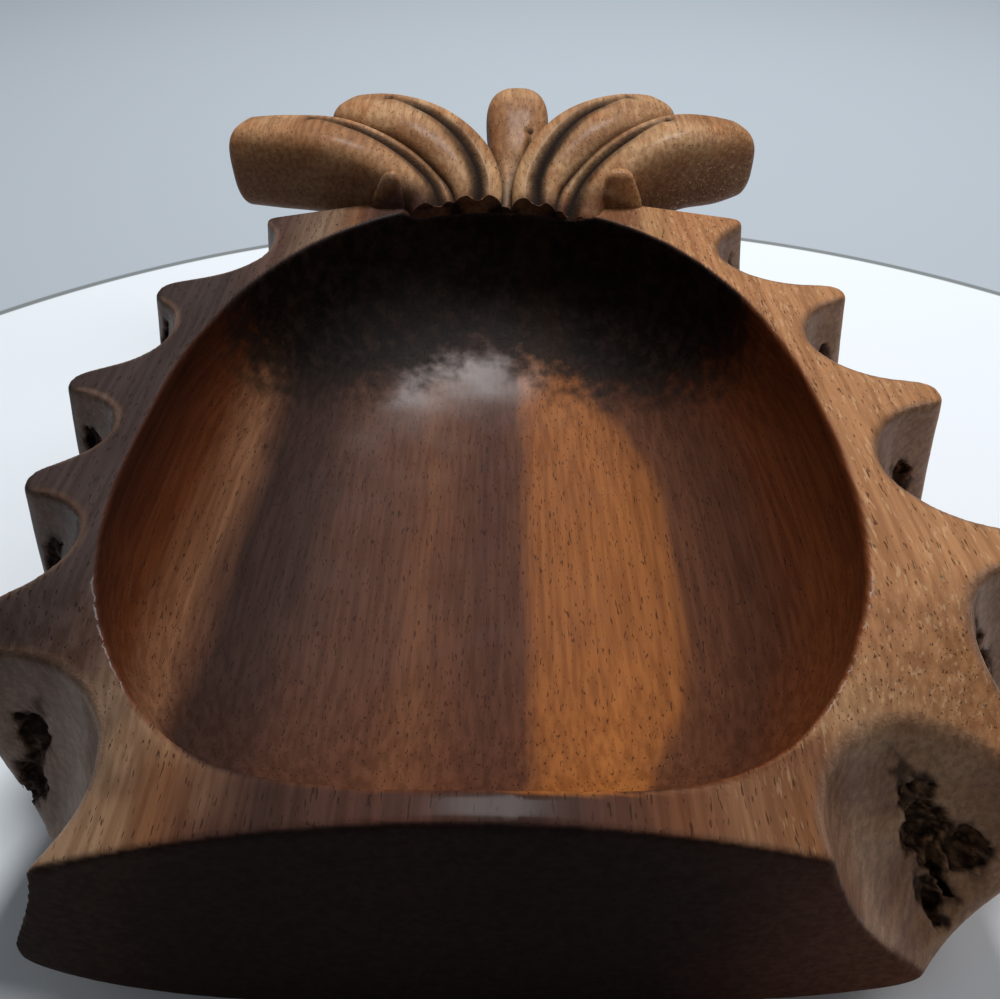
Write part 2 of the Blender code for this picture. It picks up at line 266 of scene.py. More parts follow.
def gouge_places():
    """Side, number, centre, radius, outward direction and turn of every gouge."""
    middle_of_block = Vector((0, BLOCK_OUTLINE[0], 0))
    for side, tips in TIPS.items():
        for number, (tip, next_tip) in enumerate(zip(tips, tips[1:]), 1):
            start, end = Vector(tip), Vector(next_tip)
            chord = (end - start).length - 2 * HALF_TIP
            depth = SHALLOW_BITES.get((side, number), GOUGE_BITE) * chord
            radius = (chord * chord / 4 + depth * depth) / (2 * depth)
            lean = GOUGE_LEAN
            outward = Vector((start.y - end.y, end.x - start.x, 0.0)).normalized()
            middle = ((start + end) / 2).to_3d()
            if outward.dot(middle - middle_of_block) < 0:
                outward.negate()
            centre = middle + outward * (radius - depth + GOUGE_LAND)
            if (side, number) in CORNER_GOUGES:
                x, y, radius, bearing, lean = CORNER_GOUGES[side, number]
                centre, bearing = Vector((x, y, 0.0)), math.radians(bearing)
                outward = Vector((math.cos(bearing), math.sin(bearing), 0))
            centre.z = GOUGE_Z
            turn = Matrix.Rotation(-math.radians(lean), 3, (-outward.y, outward.x, 0))
            yield side, number, centre, radius, outward, turn


def ellipsoid(graph, point, centre, turn, size):
    """Distance to a turned ellipsoid, in units of its first half length."""
    place = graph.out('FunctionNodeCombineTransform', None,
                      {"Translation": tuple(centre), "Rotation": turn.to_euler(), "Scale": size})
    back = graph.out('FunctionNodeInvertMatrix', None, {0: place})
    local = graph.out('FunctionNodeTransformPoint', None, {"Vector": point, "Transform": back})
    return (graph.vector('LENGTH', local, output="Value") - 1.0) * min(size)


def pit_fields(graph, point):
    """Every pit as an ellipsoid on the wall of its gouge."""
    for side, number, centre, radius, outward, turn in gouge_places():
        crownward = Vector((-outward.y, outward.x, 0))
        if crownward.y < 0:
            crownward.negate()
        for below, round_by, deep, wide, tall in PITS.get((side, number), ()):
            angle, swing = math.radians(below), math.radians(round_by)
            inward = crownward * math.sin(swing) - outward * math.cos(swing)
            drop = Vector((0, 0, -GOUGE_HALF_HEIGHT * math.sin(angle)))
            spot = centre + turn @ (inward * radius * math.cos(angle) + drop)
            beside = Vector((-inward.y, inward.x, 0))
            facing = Matrix((inward, beside, Vector((0, 0, 1)))).transposed()
            yield ellipsoid(graph, point, spot, turn @ facing, (deep, wide, tall))


def flat_top(graph, x, y, z, waver):
    """Above the rim, which arches down to both front corners and dips under the crown."""
    arch = graph.step(-y, *ARCH_FADES_IN) * (x - ARCH_X) * (x - ARCH_X) / (2 * ARCH_RADIUS)
    crown_dip = 2.4 * graph.step(y, 82.0, 87.0) * (1.0 - graph.step(abs(x - 1.0), 22.0, 27.0))
    return z - RIM + arch + crown_dip + waver * 0.12


def front_facet(y, z, waver):
    """In front of the plain facet, which leans so that its foot is set back."""
    forward, upward = -math.cos(FACET_LEAN), -math.sin(FACET_LEAN)
    return (y - FACET_Y) * forward + (z - RIM) * upward + waver * 0.2


def shoulders(x, y):
    """Behind the two straight cuts that run from the neck to the first scales."""
    steepness = 1.07
    return (y - SHOULDER[1] + (abs(x) - SHOULDER[0]) * SHOULDER_SLOPE) / steepness


def torn(graph, point):
    """The same place pushed about, so that what is cut there gets a ragged outline."""
    ragged = graph.out('ShaderNodeTexNoise', {"noise_dimensions": '3D'},
                       {"Vector": point, "Scale": 0.36, "Detail": 3.0}, output=1)
    reach = Vector((7.0, 7.0, 3.0))
    pushed = graph.vector('ADD', point, graph.vector('MULTIPLY', ragged, tuple(reach)))
    return graph.vector('SUBTRACT', pushed, tuple(reach / 2))


def voxel_mesh(graph, solid, voxel):
    """The surface of a solid that is given by its distance, inside a box round the bowl."""
    low, high = Vector((-91, -101, -2)) * MM, Vector((91, 108, 56)) * MM
    size = high - low
    cube = graph.out('GeometryNodeVolumeCube', None,
                     {"Density": -solid, "Background": -5.0, "Min": low, "Max": high,
                      "Resolution X": size.x / voxel, "Resolution Y": size.y / voxel,
                      "Resolution Z": size.z / voxel})
    return graph.out('GeometryNodeVolumeToMesh', None,
                     {"Volume": cube, "Threshold": 0.0, "Adaptivity": 0.0})


def carve_tree():
    """Node tree of the carved block, with a mask for each kind of surface."""
    tree = bpy.data.node_groups.new("carved_block", 'GeometryNodeTree')
    for label in ("Voxel", "Gouge Ripple", "Edge Radius"):
        tree.interface.new_socket(label, in_out='INPUT', socket_type='NodeSocketFloat')
    tree.interface.new_socket("Wood", in_out='INPUT', socket_type='NodeSocketMaterial')
    tree.interface.new_socket("Geometry", in_out='OUTPUT', socket_type='NodeSocketGeometry')
    graph = Graph(tree)
    entry = graph.node('NodeGroupInput')
    voxel, ripple, edge, wood = [Wire(graph, socket) for socket in entry.outputs][:4]
    position = graph.out('GeometryNodeInputPosition')
    point = graph.vector('MULTIPLY', position, (1 / MM, 1 / MM, 1 / MM))
    x, y, z = graph.split(point)

    chatter = (graph.noise(point, 0.11, 1.0) - 0.5) * ripple
    waver = (graph.noise(point, 0.035, 1.0) - 0.5) * 1.6
    solid = rounded_block(graph, x, y, z) + chatter * 0.6
    gouges = []
    for _, _, centre, radius, _, turn in gouge_places():
        size = (radius, radius, GOUGE_HALF_HEIGHT)
        gouges.append(ellipsoid(graph, point, centre, turn, size) + chatter + waver)
        solid = cut_away(graph, solid, gouges[-1], GOUGE_FILLET)
    facet = front_facet(y, z, waver)
    for beyond, radius in ((shoulders(x, y), 1.5), (flat_top(graph, x, y, z, waver), edge),
                           (facet, 0.9), (-z, 2.0)):
        solid = graph.math('SMOOTH_MAX', solid, beyond, radius * FILLET)
    bowl = hollow(graph, x, y, z) + (graph.noise(point, 0.05, 1.0) - 0.5) * 0.8
    solid = cut_away(graph, solid, bowl, 0.6)
    pits = graph.smallest(*pit_fields(graph, torn(graph, point)))
    solid = cut_away(graph, solid, pits, 0.25)

    mesh = voxel_mesh(graph, solid, voxel)
    masks = {"in_gouge": 1.0 - graph.step(abs(graph.smallest(*gouges)), 0.5, 1.6),
             "in_hollow": 1.0 - graph.step(abs(bowl), 0.3, 0.9),
             "on_facet": 1.0 - graph.step(abs(facet), 0.3, 1.0),
             # the pits are marked to be painted dark, as shade in their holes
             "burnt": 1.0 - graph.step(pits, -0.3, 0.9)}
    for name, value in masks.items():
        mesh = graph.out('GeometryNodeStoreNamedAttribute', {"data_type": 'FLOAT'},
                         {"Geometry": mesh, "Name": name, "Value": value})
    done = graph.out('GeometryNodeRealizeInstances', None, {"Geometry": mesh})
    done = graph.out('GeometryNodeSetMaterial', None, {"Geometry": done, "Material": wood})
    graph.node('NodeGroupOutput', None, {"Geometry": done})
    return tree


def grow(name, tree, inputs):
    """The plain mesh that a node tree makes from these inputs."""
    seed = bpy.data.objects.new("seed", bpy.data.meshes.new("seed"))
    bpy.context.scene.collection.objects.link(seed)
    step = seed.modifiers.new("grow", 'NODES')
    step.node_group = tree
    for item in tree.interface.items_tree:
        if item.in_out == 'INPUT':
            step[item.identifier] = inputs[item.name]
    graph = bpy.context.evaluated_depsgraph_get()
    mesh = bpy.data.meshes.new_from_object(seed.evaluated_get(graph))
    mesh.name = name
    bpy.data.objects.remove(seed, do_unlink=True)
    return mesh


def all_of(solid):
    return solid.verts[:] + solid.edges[:] + solid.faces[:]


def saw(solid, point, normal):
    """Takes away what lies beyond a plane, and fills the cut with flat faces."""
    cut = bmesh.ops.bisect_plane(solid, geom=all_of(solid), plane_co=point, plane_no=normal,
                                 clear_outer=True, dist=1e-7)
    rim = [item for item in cut["geom_cut"] if isinstance(item, bmesh.types.BMEdge)]
    filled = bmesh.ops.triangle_fill(solid, edges=rim, use_beauty=True, normal=normal)
    for item in filled["geom"]:
        if isinstance(item, bmesh.types.BMFace):
            item.smooth = False


def sawn_mesh(name, solid):
    """The mesh of a sawn piece, shaded with the normals of the whole block."""
    mesh = bpy.data.meshes.new(name)
    solid.to_mesh(mesh)
    count = len(mesh.loops)
    corner = np.empty(count, dtype=np.int32)
    mesh.loops.foreach_get("vertex_index", corner)
    normals = np.empty(len(mesh.vertices) * 3, dtype=np.float32)
    mesh.attributes["block_normal"].data.foreach_get("vector", normals)
    normals = normals.reshape(-1, 3)[corner]
    smooth = np.empty(len(mesh.polygons), dtype=bool)
    total = np.empty(len(mesh.polygons), dtype=np.int32)
    mesh.polygons.foreach_get("use_smooth", smooth)
    mesh.polygons.foreach_get("loop_total", total)
    normals[~np.repeat(smooth, total)] = 0.0
    mesh.normals_split_custom_set(normals)
    mesh.attributes.remove(mesh.attributes["block_normal"])
    return mesh


def new_piece(name, mesh, material, node):
    """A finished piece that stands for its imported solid."""
    if not mesh.materials:
        mesh.materials.append(material)
    piece = bpy.data.objects.new(name, mesh)
    bpy.context.scene.collection.objects.link(piece)
    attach(piece, "root")
    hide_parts(node)
    return piece


def bearings(side):
    """Points beyond the wall on the saw cuts of one side, from the crown forwards."""
    hub = Vector(HUB)
    tips = [Vector(tip) for tip in TIPS[side]]
    middles = [(a + b) / 2 for a, b in zip(tips, tips[1:])]
    neck = Vector((SHOULDER[0] * (1 if side == "right" else -1), SHOULDER[1]))
    return [spot - hub for spot in [neck, *middles]]


def sector(name, start, end, material):
    """The wall between two bearings; the end comes anticlockwise after the start."""
    solid = bmesh.new()
    solid.from_mesh(bpy.data.meshes["carved_walls"])
    hub = Vector((*HUB, 0.0)) * MM
    saw(solid, hub, (start.y, -start.x, 0.0))
    saw(solid, hub, (-end.y, end.x, 0.0))
    mesh = sawn_mesh(name, solid)
    solid.free()
    return new_piece(name, mesh, material, name.removesuffix("_finish"))


# ---------------------------------------------------------------- leaves

# Leaf spines from root to tip: x, y, z, half width, half height
LEAVES = {
    "outer_right": [(18, 82, 44, 6.5, 4.5), (19.5, 88.5, 46, 7, 6), (24, 96, 49, 8.5, 8),
                    (34, 102.5, 53.5, 10.5, 10), (46, 107, 57, 11.5, 11), (57, 110, 57, 11, 10.5),
                    (68.5, 113, 56.5, 7.5, 8)],
    "outer_left": [(-15.5, 82, 44, 6.5, 4.5), (-16.5, 88.5, 46, 7, 6), (-20.5, 96, 49, 8.5, 8),
                   (-31, 101.5, 53.5, 10.5, 10), (-44, 105, 57, 12, 11), (-58, 108.5, 57, 11.5, 11),
                   (-72, 112, 56, 9, 10.5)],
    "inner_right": [(8.5, 82, 44, 5.5, 4.5), (9, 88.5, 46, 6, 6), (10.5, 99, 49.6, 7.5, 8),
                    (17, 110, 54, 10.5, 9.3), (26, 119, 58, 12, 9.5), (37, 126, 60, 11.5, 8.5),
                    (48, 131.5, 59.5, 8, 7)],
    "inner_left": [(-5.5, 82, 44, 6, 4.5), (-6, 88.5, 46, 6.5, 6), (-7, 99, 49.6, 8, 8),
                   (-13, 110, 54, 11, 9.3), (-22.5, 119, 58, 12.5, 9.5), (-34, 126, 60, 12, 8.5),
                   (-46, 131.5, 59.5, 8, 7)],
    "centre": [(1, 82, 43.5, 3.5, 4.5), (1, 92, 46, 4, 5), (3, 105, 49.5, 5.5, 6.5),
               (4.5, 118, 54.5, 7.5, 8), (5, 134, 60.5, 8.5, 7.5), (5, 152, 61.5, 1.5, 2.5)],
}
LEAF_SQUARENESS = 0.62      # 1 is an ellipse in section; less is squarer
LEAF_BLUNT = 5.0            # length over which a tip is rounded off
# Midrib of each leaf: angle round the section at the root and at the end, and how far it runs
MIDRIBS = {"outer_right": (92, 100, 0.66), "outer_left": (88, 80, 0.70),
           "inner_right": (86, 98, 0.84), "inner_left": (90, 82, 0.80), "centre": (60, 80, 0.55)}
BRACT_SQUARENESS = 0.62
BRACT_BLUNT = 2.0
# Bract sections from root to tip: x, y, z, half width, half depth
BRACTS = {
    "right": [(31.5, 90.5, 44, 6.2, 3.4), (31.2, 91, 52, 5.8, 3.2), (31, 91.6, 57, 4.2, 2.6),
              (30.8, 92, 61, 2.6, 1.8)],
    "left": [(-29, 90.5, 44, 5.2, 3.4), (-28.8, 91, 52, 4.8, 3.2), (-28.4, 91.6, 57, 3.2, 2.4),
             (-28, 92, 60.5, 1.6, 1.4)],
}


def smooth_path(rows, count):
    """Even steps along a smooth curve through every column of the rows."""
    rows = np.array(rows, dtype=float)
    padded = np.vstack([2 * rows[0] - rows[1], rows, 2 * rows[-1] - rows[-2]])
    fine = []
    for index in range(len(rows) - 1):
        a, b, c, d = padded[index:index + 4]
        for t in np.linspace(0, 1, 40, endpoint=False):
            fine.append(0.5 * (2 * b + (c - a) * t + (2 * a - 5 * b + 4 * c - d) * t ** 2
                               + (3 * b - a - 3 * c + d) * t ** 3))
    fine = np.array(fine + [rows[-1]])
    run = np.concatenate([[0], np.cumsum(np.linalg.norm(np.diff(fine[:, :3], axis=0), axis=1))])
    want = np.linspace(0, run[-1], count)
    return np.column_stack([np.interp(want, run, column) for column in fine.T]), want


def loft(name, rings, tip=None, burnt=None, smooth=True):
    """A closed mesh through rings of points in mm, ending in a flat cap or in a tip.

    The fourth argument holds how dark each point of each ring is painted, as shade in a groove.
    """
    solid = bmesh.new()
    layer = solid.verts.layers.float.new("burnt") if burnt else None
    layers = []
    for index, ring in enumerate(rings):
        corners = [solid.verts.new(np.asarray(point) * MM) for point in ring]
        if burnt:
            for corner, value in zip(corners, burnt[index]):
                corner[layer] = value
        layers.append(corners)
    count = len(layers[0])
    after = [(spot + 1) % count for spot in range(count)]
    for low, high in zip(layers, layers[1:]):
        for spot in range(count):
            solid.faces.new((low[spot], low[after[spot]], high[after[spot]], high[spot]))
    solid.faces.new(layers[0])
    if tip is None:
        solid.faces.new(layers[-1])
    else:
        point = solid.verts.new(np.asarray(tip) * MM)
        for spot in range(count):
            solid.faces.new((layers[-1][spot], layers[-1][after[spot]], point))
    bmesh.ops.recalc_face_normals(solid, faces=solid.faces)
    for face in solid.faces:
        face.smooth = smooth
    mesh = bpy.data.meshes.new(name)
    solid.to_mesh(mesh)
    solid.free()
    return mesh


def rounded(value, power):
    """A sine or cosine drawn towards a squarer curve."""
    return np.sign(value) * np.abs(value) ** power


def section_angles(count, middle):
    """Angles round a section, packed closely round the midrib."""
    crowding = 0.72
    even = np.linspace(-math.pi, math.pi, count, endpoint=False)
    return middle + even - crowding * np.sin(even)


def midrib(away, left):
    """Depth and painted shade of the midrib at a distance beside it and before its end, in mm.

    It is a V that thins out towards the end, with a small drilled dot where it stops.
    """
    fade = min(max(left / 9.0, 0.0), 1.0) ** 0.7
    dot = math.exp(-(left / 1.1) ** 2)
    groove = fade * np.exp(-(away / (0.45 + 0.50 * fade)) ** 2)
    depth = 1.45 * groove + 0.9 * dot * np.exp(-(away / 0.9) ** 2)
    dark = np.maximum(groove ** 0.6, dot * np.exp(-(away / 1.3) ** 2))
    return depth, np.minimum(dark, 1.0)


def leaf_mesh(name, rows, rib, sides=88, steps=110):
    """A thick leaf along its spine, round at the tip, with a groove along its back that is painted
    dark as shade.
    """
    path, run = smooth_path(rows, steps)
    length = run[-1]
    past = np.clip(run - (length - LEAF_BLUNT), 0, None) / LEAF_BLUNT
    ending = np.sqrt(np.clip(1 - past ** 2, 0, 1))
    spine, half = path[:, :3], path[:, 3:] * ending[:, None]
    along = np.gradient(spine, axis=0)
    along /= np.linalg.norm(along, axis=1)[:, None]
    side = np.cross(along, (0, 0, 1.0))
    side /= np.linalg.norm(side, axis=1)[:, None]
    up = np.cross(side, along)
    start, end, reach = rib
    rings, burnt = [], []
    for index in range(steps - 1):
        share = run[index] / length
        middle = math.radians(start + (end - start) * share)
        angle = section_angles(sides, middle)
        wide, tall = half[index]
        depth, dark = midrib((angle - middle) * wide, (reach - share) * length)
        across = rounded(np.cos(angle), LEAF_SQUARENESS) * wide
        lift = rounded(np.sin(angle), LEAF_SQUARENESS)
        lift = lift * tall - np.minimum(depth, tall * 0.5) * np.maximum(lift, 0.0)
        rings.append(spine[index] + np.outer(across, side[index]) + np.outer(lift, up[index]))
        burnt.append(dark)
    return loft(name, rings, tip=spine[-1], burnt=burnt)


def hollow_tool():
    """The hollow as a solid, a little larger all round, to trim the roots of the crown."""
    middle, front, back, blunt, sharp = HOLLOW_OUTLINE
    spare = 0.5
    angle = np.linspace(0, 2 * math.pi, 240, endpoint=False)
    behind = np.sin(angle) > 0
    power = 2 / np.where(behind, sharp, blunt)
    across = rounded(np.cos(angle), power) * (HOLLOW_HALF_WIDTH + spare)
    along = rounded(np.sin(angle), power) * (np.where(behind, back, front) + spare)
    rings = []
    for height in [*np.linspace(34, RIM, 24), *np.linspace(RIM + 1, 80, 12)]:
        depth = max(RIM - height, 0) / (RIM - FLOOR)
        size = (1 - depth ** HOLLOW_POWER) ** (1 / HOLLOW_POWER)
        level = np.full(len(angle), height)
        rings.append(np.column_stack([HOLLOW_X + across * size, middle + along * size, level]))
    return loft("hollow_tool", rings, smooth=False)


def trimmed(mesh, tool_mesh):
    """A mesh less the hollow."""
    scene = bpy.context.scene.collection
    blank = bpy.data.objects.new(mesh.name, mesh)
    tool = bpy.data.objects.new("trim_tool", tool_mesh)
    scene.objects.link(blank)
    scene.objects.link(tool)
    cut = blank.modifiers.new("trim", 'BOOLEAN')
    cut.operation, cut.solver, cut.object = 'DIFFERENCE', 'EXACT', tool
    graph = bpy.context.evaluated_depsgraph_get()
    result = bpy.data.meshes.new_from_object(blank.evaluated_get(graph))
    result.materials.clear()
    bpy.data.objects.remove(blank, do_unlink=True)
    bpy.data.objects.remove(tool, do_unlink=True)
    result.set_sharp_from_angle(angle=math.radians(50))
    return result


def shade_creases(meshes):
    """Paints shade into the deep lines where one leaf meets another, most of all near the roots."""
    width, ends_at, fades_over = 1.3, 124.0, 30.0
    trees = {}
    for name, mesh in meshes.items():
        corners = [vertex.co for vertex in mesh.vertices]
        trees[name] = BVHTree.FromPolygons(corners, [face.vertices for face in mesh.polygons])
    for name, mesh in meshes.items():
        values = mesh.attributes["burnt"].data
        others = [tree for other, tree in trees.items() if other != name]
        for vertex, value in zip(mesh.vertices, values):
            nearest = min(tree.find_nearest(vertex.co)[3] for tree in others) / MM
            reach = (ends_at - vertex.co.y / MM) / fades_over
            near = math.exp(-(nearest / width) ** 2) * min(max(reach, 0.0), 1.0)
            value.value = max(value.value, 0.9 * near)


def bract_mesh(name, rows):
    """A small upright lobe, square below and drawn in above."""
    path, run = smooth_path(rows, 40)
    angle = np.linspace(0, 2 * math.pi, 48, endpoint=False)
    across = rounded(np.cos(angle), BRACT_SQUARENESS)
    along = rounded(np.sin(angle), BRACT_SQUARENESS)
    rings = []
    for (x, y, z, wide, deep), left in zip(path[:-1], (run[-1] - run[:-1]) / BRACT_BLUNT):
        ending = math.sqrt(1 - max(1 - left, 0.0) ** 2)
        level = np.full(len(angle), z)
        rings.append(np.column_stack([x + wide * ending * across, y + deep * ending * along, level]))
    return loft(name, rings)


# ---------------------------------------------------------------- wood

class Paint(Graph):
    """Colours in a shader tree."""

    def mix(self, share, first, second, blend='MIX'):
        made = self.node('ShaderNodeMix', {"data_type": 'RGBA', "blend_type": blend})
        for slot, value in ((0, share), (6, first), (7, second)):
            if isinstance(value, Wire):
                self.tree.links.new(value.socket, made.inputs[slot])
            else:
                made.inputs[slot].default_value = value if slot == 0 else (*value, 1.0)
        return Wire(self, made.outputs[2])

    def ramp(self, value, stops, low, high):
        """A colour for a value, from stops of (value, colour) between low and high."""
        made = self.node('ShaderNodeValToRGB')
        elements = made.color_ramp.elements
        for index, (place, colour) in enumerate(stops):
            share = (place - low) / (high - low)
            element = elements[index] if index < 2 else elements.new(share)
            element.position = share
            element.color = (*colour, 1.0)
        share = (value - low) / (high - low)
        self.tree.links.new(share.socket, made.inputs[0])
        return Wire(self, made.outputs[0])

    def mask(self, name):
        return self.out('ShaderNodeAttribute', {"attribute_type": 'GEOMETRY',
                                                "attribute_name": name}, output=2)

    def grain(self, x, y, z, across, along, detail=2.0):
        """Noise drawn out along the grain, which runs the length of the bowl."""
        point = self.out('ShaderNodeCombineXYZ', None,
                         {0: x / across, 1: y / along, 2: z / across})
        return self.noise(point, 1.0, detail)


# Colour of the wood inside the hollow, by the place of a growth ring in mm; the darkest stop, at
# -80, holds painted shade at the top of the left wall
FLOOR_BANDS = [
    (-80, (0.050, 0.014, 0.006)), (-66, (0.085, 0.022, 0.008)), (-57, (0.120, 0.034, 0.011)),
    (-48, (0.22, 0.100, 0.050)), (-44, (0.090, 0.040, 0.024)), (-41.5, (0.040, 0.020, 0.015)),
    (-33, (0.048, 0.021, 0.015)), (-27, (0.090, 0.036, 0.020)), (-14, (0.115, 0.042, 0.021)),
    (-9, (0.160, 0.060, 0.026)), (-2, (0.120, 0.042, 0.020)), (5, (0.090, 0.032, 0.017)),
    (12, (0.110, 0.038, 0.018)), (16, (0.29, 0.096, 0.024)), (32, (0.37, 0.125, 0.029)),
    (41, (0.31, 0.105, 0.027)), (44, (0.130, 0.046, 0.020)), (56, (0.085, 0.030, 0.015)),
    (66, (0.130, 0.036, 0.012)), (80, (0.170, 0.047, 0.014)),
]
# The same on the rim and the outside
RIM_BANDS = [
    (-130, (0.065, 0.043, 0.038)), (-85, (0.055, 0.036, 0.032)), (-69, (0.110, 0.060, 0.043)),
    (-61, (0.200, 0.130, 0.086)), (-53, (0.220, 0.130, 0.078)), (-46, (0.195, 0.084, 0.038)),
    (-39, (0.090, 0.038, 0.025)), (-30, (0.055, 0.027, 0.020)), (-17, (0.078, 0.032, 0.021)),
    (-2, (0.086, 0.032, 0.020)), (12, (0.042, 0.019, 0.014)), (27, (0.068, 0.026, 0.017)),
    (35, (0.115, 0.045, 0.024)), (42, (0.170, 0.062, 0.026)), (50, (0.250, 0.118, 0.058)),
    (57, (0.230, 0.096, 0.040)), (64, (0.220, 0.090, 0.040)), (72, (0.470, 0.250, 0.112)),
    (85, (0.450, 0.205, 0.088)), (130, (0.480, 0.235, 0.105)),
]


TAN_DARK, TAN_PALE, TAN_ORANGE = (0.36, 0.170, 0.075), (0.62, 0.370, 0.190), (0.42, 0.160, 0.055)
# painted shade for the faces of the crown that turn downwards
PAINTED_UNDERSIDE_SHADE = (0.115, 0.050, 0.026)
SCOOP_DARK, SCOOP_PALE = (0.150, 0.080, 0.050), (0.26, 0.160, 0.110)
# end grain soaked with oil, darkened further as painted shade
SOAKED_AND_SHADED_DARK, SOAKED_AND_SHADED_PALE = (0.006, 0.004, 0.003), (0.020, 0.012, 0.009)
# end grain of the front facet, darkened further as painted shade, less so to the right
FACET_SHADED_LEFT, FACET_SHADED_RIGHT = (0.016, 0.009, 0.008), (0.10, 0.036, 0.020)
WORN = (0.42, 0.25, 0.14)
STREAK_SHADE = (0.62, 0.56, 0.52)
PORE, FLECK = (0.020, 0.009, 0.006), (0.62, 0.40, 0.22)
# painted shade for the grooves, the pits and the creases between leaves
PAINTED_RECESS_SHADE = (0.014, 0.008, 0.006)


class Place:
    """A place in the block, in millimetres, and the kind of surface that it is on."""

    def __init__(self, paint):
        coords = paint.node('ShaderNodeTexCoord')
        self.point = paint.vector('MULTIPLY', Wire(paint, coords.outputs["Object"]),
                                  (1 / MM, 1 / MM, 1 / MM))
        self.x, self.y, self.z = paint.split(self.point)
        _, self.ny, self.nz = paint.split(Wire(paint, coords.outputs["Normal"]))
        self.gouge, self.inside, self.facet, self.burnt = [
            paint.mask(name) for name in ("in_gouge", "in_hollow", "on_facet", "burnt")]
        self.outside = 1.0 - self.inside
        self.sway = paint.grain(self.x, self.y, self.z, 26.0, 90.0, 2.0) - 0.5
        self.cloud = paint.noise(self.point, 0.045, 3.0)
        self.fuzz = paint.noise(self.point, 0.28, 4.0)


def ring_colour(paint, at):
    """Growth rings, nested round the heart of the tree, which lies left of the middle."""
    fine = paint.grain(at.x, at.y, at.z, 3.2, 40.0, 3.0) - 0.5
    height = (at.z - 18.0) / 44.0
    bulge = paint.biggest(1.0 - height * height, 0.16) ** 0.5
    drift = paint.biggest(abs(at.y + 12.0) - 15.0, 0.0)
    bend = drift * drift * 0.0065 * paint.step(at.x, 4.0, 26.0) * at.inside
    ring = (at.x + 8.0) / bulge + bend + at.sway * 9.0 + fine * 3.0
    inner = paint.ramp(ring, FLOOR_BANDS, -80.0, 80.0)
    outer = paint.ramp(ring, RIM_BANDS, -130.0, 130.0)
    return paint.mix(at.outside, inner, outer)


def on_crown_and_gouges(paint, at, colour):
    """The crown is tan, with painted shade on its faces that turn downwards; the gouges show
    greyish, lighter wood.
    """
    tan = paint.mix(paint.step(at.cloud, 0.35, 0.68), TAN_DARK, TAN_PALE)
    patches = paint.step(paint.noise(at.point, 0.09, 2.0), 0.52, 0.72)
    tan = paint.mix(patches * 0.70, tan, TAN_ORANGE)
    # painted shade: the crown is darkened where its faces turn downwards
    underside_shade = paint.step(-at.nz, -0.45, 0.15)
    tan = paint.mix(underside_shade * 0.80, tan, PAINTED_UNDERSIDE_SHADE)
    colour = paint.mix(paint.step(at.y, 88.0, 94.0) * at.outside, colour, tan)
    scoop = paint.mix(paint.step(at.cloud, 0.40, 0.62), SCOOP_DARK, SCOOP_PALE)
    return paint.mix(at.gouge * 0.62, colour, scoop)


def far_wall(paint, at):
    """Where the hollow shows end grain, under the crown, which soaks up oil, and painted shade over
    the far end of the hollow.
    """
    end_grain = paint.step(abs(at.ny), 0.45, 0.85) * paint.step(at.y, 20.0, 40.0)
    # painted shade: the far end of the hollow, reaching further forwards along the side walls
    reach = at.y + (at.fuzz - 0.5) * 26.0 + abs(at.x + 4.0) * 0.62
    return at.inside * paint.biggest(paint.step(reach, 58.0, 76.0), end_grain)


def on_end_grain_and_shade(paint, at, wall, colour):
    """The far wall and the facet are nearly black: end grain soaked with oil, painted darker still
    as shade.
    """
    soaked_and_shaded = paint.mix(paint.step(at.fuzz, 0.40, 0.66), SOAKED_AND_SHADED_DARK, SOAKED_AND_SHADED_PALE)
    colour = paint.mix(wall * 0.97, colour, soaked_and_shaded)
    # the facet: end grain with painted shade, lighter towards the right
    front = paint.mix(paint.step(at.x + at.sway * 20.0, 22.0, 62.0), FACET_SHADED_LEFT, FACET_SHADED_RIGHT)
    return paint.mix(at.facet * 0.93, colour, front)


def worn_thin(paint, at, colour):
    """The oil has worn thin in patches near the front corners."""
    worn = paint.step(paint.noise(at.point, 0.055, 2.0), 0.50, 0.62) * at.outside * (1.0 - at.facet)
    worn = worn * paint.step(-at.y, 62.0, 80.0) * paint.step(abs(at.x + 2.0), 26.0, 44.0)
    return paint.mix(worn * 0.45, colour, WORN)


